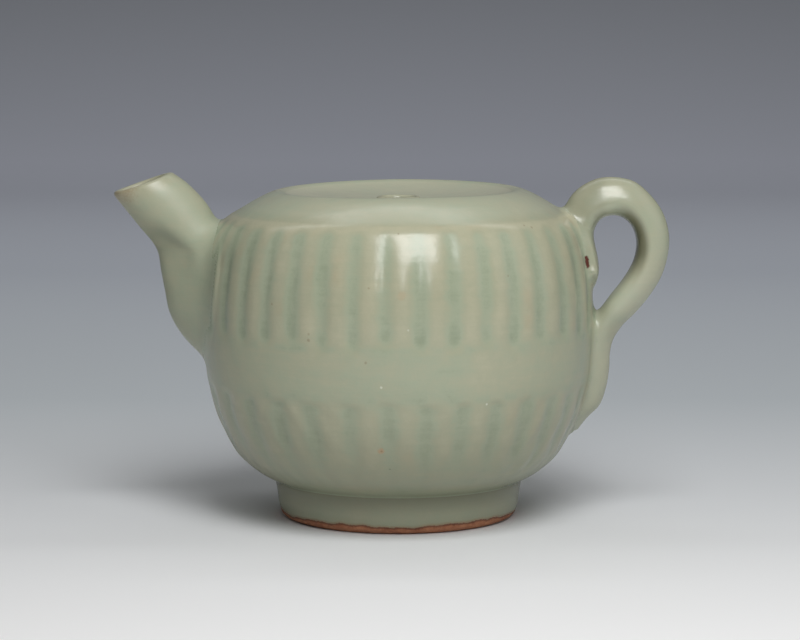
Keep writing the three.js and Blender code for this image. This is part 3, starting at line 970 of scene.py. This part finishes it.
def body_marks(points, pools):
    """Where the glaze pools and thins on the body's rings"""
    angle = np.arctan2(points[..., 0], -points[..., 1])
    height = points[..., 2]
    deep = groove_depth(angle, height)
    foot_of_groove = 1 + 0.5 * np.exp(-((height - UPPER_RIBS["low"] - 3) / 3) ** 2)
    pool = 0.75 * smoothstep(deep, 0.25, 0.95) * foot_of_groove + pools
    ribs = smoothstep(deep, 0.35, 0.0) * (
        smoothstep(height, UPPER_RIBS["low"], UPPER_RIBS["low"] + 5)
        + smoothstep(height, LOWER_RIBS["high"] + 1, LOWER_RIBS["high"] - 3) * smoothstep(height, 14, 24)
    )
    above = height - SHOULDER_HEIGHT + 0.5
    pool = pool + ledge_pool(angle, height)
    corner = 0.8 * np.exp(-(above / np.where(above > 0, 0.7, 1.4)) ** 2)
    crease = np.exp(-((height - FOOT_HEIGHT) / 1.6) ** 2)
    thin = np.clip(0.75 * ribs * (height < SHOULDER_HEIGHT) + corner, 0, 1.2)
    # Painted shade darkens the body low down, and painted light lightens its shoulder above the corner
    return {
        "pool": pool + crease, "thin": thin, "painted_shade": low_painted_shade(height),
        "pale": 0.11 * smoothstep(above, 0.5, 3),
    }


def ledge_pool(angle, height):
    """Patches of pooled glaze on the ledges where the ribs start and end beside the plain band"""
    total = 0
    for ledge, seed in ((LOWER_RIBS["high"] + 0.6, 31), (UPPER_RIBS["low"] + 0.8, 32)):
        patches = smoothstep(unevenness(angle, 0 * height, seed, (14, 44), 100), -0.5, 0.6)
        total = total + LEDGE_POOL * patches * np.exp(-((height - ledge) / LEDGE_REACH) ** 2)
    return total


def fleck(angle, height, size, strength, tint, radius=None):
    """A speck in the glaze at an angle in degrees and a height, with its place and size in metres"""
    turn = math.radians(angle)
    radius = radius or wall_radius(height)
    place = placed((radius * math.sin(turn), -radius * math.cos(turn), height))
    return tuple(place), size * MM, strength, tint


def low_painted_shade(height):
    """How much painted shade darkens the glaze, growing towards the foot"""
    return PAINTED_SHADE_MOST * smoothstep(height, *PAINTED_SHADE_HEIGHTS)


def make_glazes():
    """The glaze of each piece, with specks on the body and the kiln's slit on it and on the handle"""
    specks = [fleck(*row) for row in FLECKS]
    slit = [fleck(*row) for row in KILN_GAP]
    return {
        "body": glaze("body_glaze", 0, specks + slit),
        "top": glaze("top_glaze", TOP_TONE),
        "lip": glaze("thin_glaze"),
        "spout": glaze("spout_glaze"),
        "handle": glaze("handle_glaze", 0, slit),
        "foot": glaze("foot_glaze"),
    }


def hidden(rings):
    """The marks of rings that aren't seen"""
    return {mark: [value] * len(rings) for mark, value in MARKS.items()}


def all_marks(*groups):
    """The marks of groups of rings in turn; a mark that a group leaves out has its plain value"""
    return {
        mark: [ring for group in groups for ring in group.get(mark, [value] * len(group["pool"]))]
        for mark, value in MARKS.items()
    }


def joint_pool(gap):
    """How much glaze pools at a distance from a joint"""
    return JOINT_POOL * np.exp(-(gap / POOL_REACH) ** 2)


def join_body(points, body_skin, others):
    """Moves the body's points on to its joins with the others, and gives the glaze that pools there too"""
    flat = points.reshape(-1, 3).copy()
    pools = np.zeros(len(flat))
    for skin, side, widths in others:
        near = (flat[:, 0] * side > JOINTS_FROM_AXIS) & (np.abs(flat[:, 1]) < JOINTS_ASIDE)
        picked = np.nonzero(near)[0]
        moved, gap = joined(flat[picked], body_skin, skin, joint_width(widths, flat[picked, 2]))
        flat[picked] = moved
        pools[picked] = np.maximum(pools[picked], joint_pool(gap))
    return flat.reshape(points.shape), pools.reshape(points.shape[:-1])


def build_lower_bowl(wall, pools, material):
    """The ribbed lower bowl, with its floor and the recessed base inside the foot ring"""
    base = [(radius, FOOT_RECESS + rise) for radius, rise in BASE_DOME]
    base += [(FOOT_INNER_RADIUS + out, FOOT_RECESS + rise) for out, rise in BASE_FILLET]
    base.append((base[-1][0], FOOT_HEIGHT))
    under = plain_rings(base, RIBBED_SIDES)
    inner = inner_wall(0, SEAM_HEIGHT, INNER_ROWS)[::-1]
    edge, height = inner[-1]
    inside = plain_rings([*inner, *((edge * share, height) for share in FLOOR_SHARES)], RIBBED_SIDES)
    marks = all_marks(hidden(under), body_marks(wall, pools), hidden(inside))
    piece("lower_bowl", [*under, *wall, *inside], False, marks, material, "body_glaze", "lower_body")


def build_upper_bowl(wall, pools, material):
    """The ribbed upper bowl, with the ledge that carries the sunken top"""
    under_ledge = LEDGE_HEIGHT - LEDGE_THICKNESS
    inner = inner_wall(SEAM_HEIGHT, under_ledge - NECK_DROP, INNER_ROWS)[::-1]
    inside = plain_rings([
        (TOP_RADIUS, LEDGE_HEIGHT), (LEDGE_RADIUS, LEDGE_HEIGHT), (LEDGE_RADIUS, under_ledge),
        (NECK_RADIUS, under_ledge), *inner,
    ], RIBBED_SIDES)
    marks = all_marks(body_marks(wall, pools), hidden(inside))
    piece("upper_bowl", [*wall, *inside], True, marks, material, "body_glaze", "upper_body")


def build_dished_top(rows, material):
    """The sunken dish that closes the top, pierced by the filling hole"""
    edge = TOP_RADIUS - TOP_CLEARANCE
    dish = [settled(ring) for ring in plain_rings(rows, PLAIN_SIDES)]
    below = plain_rings([
        (HOLE_RADIUS, LIP_LOW), (HOLE_RADIUS, TOP_UNDERSIDE), (LEDGE_RADIUS * 2 / 3, TOP_UNDERSIDE),
        (LEDGE_RADIUS - TOP_CLEARANCE, LEDGE_HEIGHT), (edge, LEDGE_HEIGHT), (edge, rows[0][1] - EDGE_DROP),
    ], PLAIN_SIDES)
    height = rows[:, 1]
    seen = {
        "pool": list(0.05 * smoothstep(height, RIM_HEIGHT - 1, LIP_LOW)),
        "thin": list(0.4 * smoothstep(height, RIM_HEIGHT - 1.4, RIM_HEIGHT)),
        # Painted light on the dish's upward face
        "pale": [0.18] * len(rows),
    }
    marks = all_marks(seen, hidden(below))
    piece("dished_top", [*dish, *below], True, marks, material, "top_glaze", "sunken_top")


def build_filler_lip(rows, material):
    """The low lip of the filling hole, where the glaze has run thin"""
    seat = [(HOLE_RADIUS, LIP_LOW - LIP_SEAT), (LIP_RADIUS, LIP_LOW - LIP_SEAT)]
    height = rows[:, 1]
    seen = {
        "pool": [0.0] * len(rows),
        "thin": list(smoothstep(height, LIP_LOW + 0.3, LIP_HIGH)),
        "bare": list(-2 + 1.2 * smoothstep(height, LIP_LOW + 0.8, LIP_HIGH)),
    }
    rings = plain_rings([*rows, *seat], LIP_SIDES)
    piece("filler_lip", rings, True, all_marks(seen, hidden(seat)), material, "thin_glaze", "filler_collar")


def glaze_line(angles):
    """The heights round the foot at which the glaze stops"""
    return (
        GLAZE_LINE + 0.34 * unevenness(angles, 0 * angles, 21, (2, 9), 50)
        + 0.22 * unevenness(angles, 0 * angles, 22, (11, 37), 50)
    )


def build_foot(rows, material):
    """The foot ring, glazed down to an uneven line above its bare clay"""
    angles = np.arange(FOOT_SIDES) * FULL_TURN / FOOT_SIDES
    outside = body_points(rows, angles, False)
    above = outside[..., 2] - glaze_line(angles)
    outward = np.stack([np.sin(angles), -np.cos(angles), 0 * angles], axis=1)
    step = smoothstep(above, -0.15, 0.12) * smoothstep(above, 4, 1.2)
    outside = outside + outward * (GLAZE_STEP * step)[..., None]
    inside = plain_rings([(FOOT_INNER_RADIUS + out, height) for out, height, _ in FOOT_INSIDE], FOOT_SIDES)
    height = outside[..., 2]
    outside_marks = {
        "pool": list(0.9 * smoothstep(height, FOOT_HEIGHT - 2.2, FOOT_HEIGHT)),
        "bare": list(-above),
        # Painted shade low down and on the foot's wall under the crease
        "painted_shade": list(low_painted_shade(height) + CREASE_SHADE * smoothstep(height, 4, FOOT_HEIGHT)),
    }
    inside_marks = {
        "pool": [0] * len(inside),
        "bare": [bare for _, _, bare in FOOT_INSIDE],
        # Painted shade inside the foot ring
        "painted_shade": [PAINTED_SHADE_MOST] * len(inside),
    }
    marks = all_marks(outside_marks, inside_marks)
    piece("foot", [*outside, *inside], True, marks, material, "foot", "foot_ring")


def spout_parts():
    """Shares of the way to the mouth and depths in the wall: for the outside, the lip and the bore"""
    turn = np.linspace(0, math.pi, SPOUT_LIP_ROWS)
    outside = np.linspace(0, 1 - LIP_LENGTH_SHARE, SPOUT_ROWS)
    lip = 1 - LIP_LENGTH_SHARE * (1 - np.sin(turn))
    bore = np.linspace(1 - LIP_LENGTH_SHARE, 0, BORE_ROWS)
    taper = smoothstep(1 - bore, 0, BORE_TAPER_SHARE)
    return (
        (outside, np.zeros(SPOUT_ROWS)), (lip, SPOUT_LIP / 2 * (1 - np.cos(turn))),
        (bore, SPOUT_LIP + (SPOUT_WALL - SPOUT_LIP) * taper),
    )


def build_spout(outside, gap, material):
    """The hollow spout: its outside, already joined with the body, then its round lip and its bore"""
    (stations, _), *rest = spout_parts()
    rings = np.concatenate([outside, *(spout_rings(*part, SPOUT_SIDES)[1:] for part in rest)])
    tip = np.concatenate([stations, *(part[0][1:] for part in rest)])
    pool = np.zeros(rings.shape[:2])
    pool[:len(outside)] = joint_pool(gap)
    near_lip = smoothstep(tip, 0.9, 1)[:, None]
    rim_band = smoothstep(tip, 0.88, 0.97)[:, None]
    under_side = smoothstep(rings[..., 0], -SPOUT_REACH + 12, -SPOUT_REACH + 3)
    front = smoothstep(rings[..., 1], 2, -3)
    marks = {
        "pool": list(pool), "thin": list(0.5 * near_lip),
        "dull": list(0.25 + 0.75 * smoothstep(tip, 0.1, 0.5) * smoothstep(tip, 0.99, 0.86)),
        "bare": list(-1.6 + 0.4 * near_lip + 0.95 * rim_band * under_side * front),
        # Painted shade in the hollow under the spout's bend
        "painted_shade": list(HOLLOW_SHADE * hollow_share(rings[..., (0, 2)] * (-1, 1))),
    }
    piece("spout_shell", list(rings), True, all_marks(marks), material, "spout_glaze", "spout")


def handle_shade(points):
    """How much painted shade darkens the glaze on the loop's side, the strap, the top and the lower end"""
    out, height = points[..., 0], points[..., 2]
    turn = np.arange(HANDLE_SIDES) * FULL_TURN / HANDLE_SIDES
    loop_side = smoothstep(np.cos(turn), 0.15, -0.35)
    shade = loop_side * smoothstep(height, 58, 68) * smoothstep(out, 53, 60)
    strap = smoothstep(out, 53, 50) * smoothstep(height, 56, 60)
    shade = shade + 0.1 * smoothstep(height, 70, 80) + 0.25 * strap
    return shade + 0.22 * smoothstep(height, 55, 46)


def build_handle(rings, gap, material):
    """The handle's coil, with a point inside the body at either end"""
    first, last = (np.array([ring.mean(0)]) for ring in (rings[0], rings[-1]))
    # Painted light over the whole coil, more on its lower part
    pale = 0.07 + 0.09 * smoothstep(rings[..., 2], 65, 56)
    marks = {"pool": [0, *joint_pool(gap), 0], "painted_shade": [0, *handle_shade(rings), 0], "pale": [0, *pale, 0]}
    piece("handle_coil", [first, *rings, last], False, all_marks(marks), material, "handle_glaze", "handle")


def build_vessel():
    """The wall, the spout and the handle are joined before the pieces are made from them"""
    glazes = make_glazes()
    foot = outline_place(FOOT_TOP_RADIUS, FOOT_HEIGHT)
    lower_heights = OUTLINE[:outline_place(BODY_RADIUS, WIDEST_HEIGHT), 1]
    seam = int(np.argmin(np.abs(lower_heights - SEAM_HEIGHT)))
    rim = outline_place(TOP_RADIUS, RIM_EDGE_HEIGHT)
    lip = outline_place(LIP_RADIUS, LIP_LOW)
    hole = outline_place(HOLE_RADIUS, LIP_LOW)

    angles = np.arange(RIBBED_SIDES) * FULL_TURN / RIBBED_SIDES
    lower = body_points(rows_between(foot, seam), angles)
    upper = body_points(rows_between(seam, rim), angles)
    spout = spout_rings(*spout_parts()[0], SPOUT_SIDES)
    handle = handle_rings(HANDLE_ROWS, HANDLE_SIDES)
    body_skin = Skin(np.concatenate([lower, upper[1:]]))
    spout_skin = Skin(spout)
    handle_skin = Skin(handle)
    others = ((spout_skin, -1, SPOUT_JOINTS), (handle_skin, 1, HANDLE_JOINTS))
    spout_width = joint_width(SPOUT_JOINTS, spout[..., 2])
    handle_width = joint_width(HANDLE_JOINTS, handle[..., 2])

    build_lower_bowl(*join_body(lower, body_skin, others), glazes["body"])
    build_upper_bowl(*join_body(upper, body_skin, others), glazes["body"])
    build_dished_top(rows_between(rim, lip), glazes["top"])
    build_filler_lip(rows_between(lip, hole), glazes["lip"])
    build_foot(rows_between(0, foot), glazes["foot"])
    build_spout(*joined(spout, spout_skin, body_skin, spout_width), glazes["spout"])
    build_handle(*joined(handle, handle_skin, body_skin, handle_width), glazes["handle"])


camera()
build_vessel()
stage()
light_up()
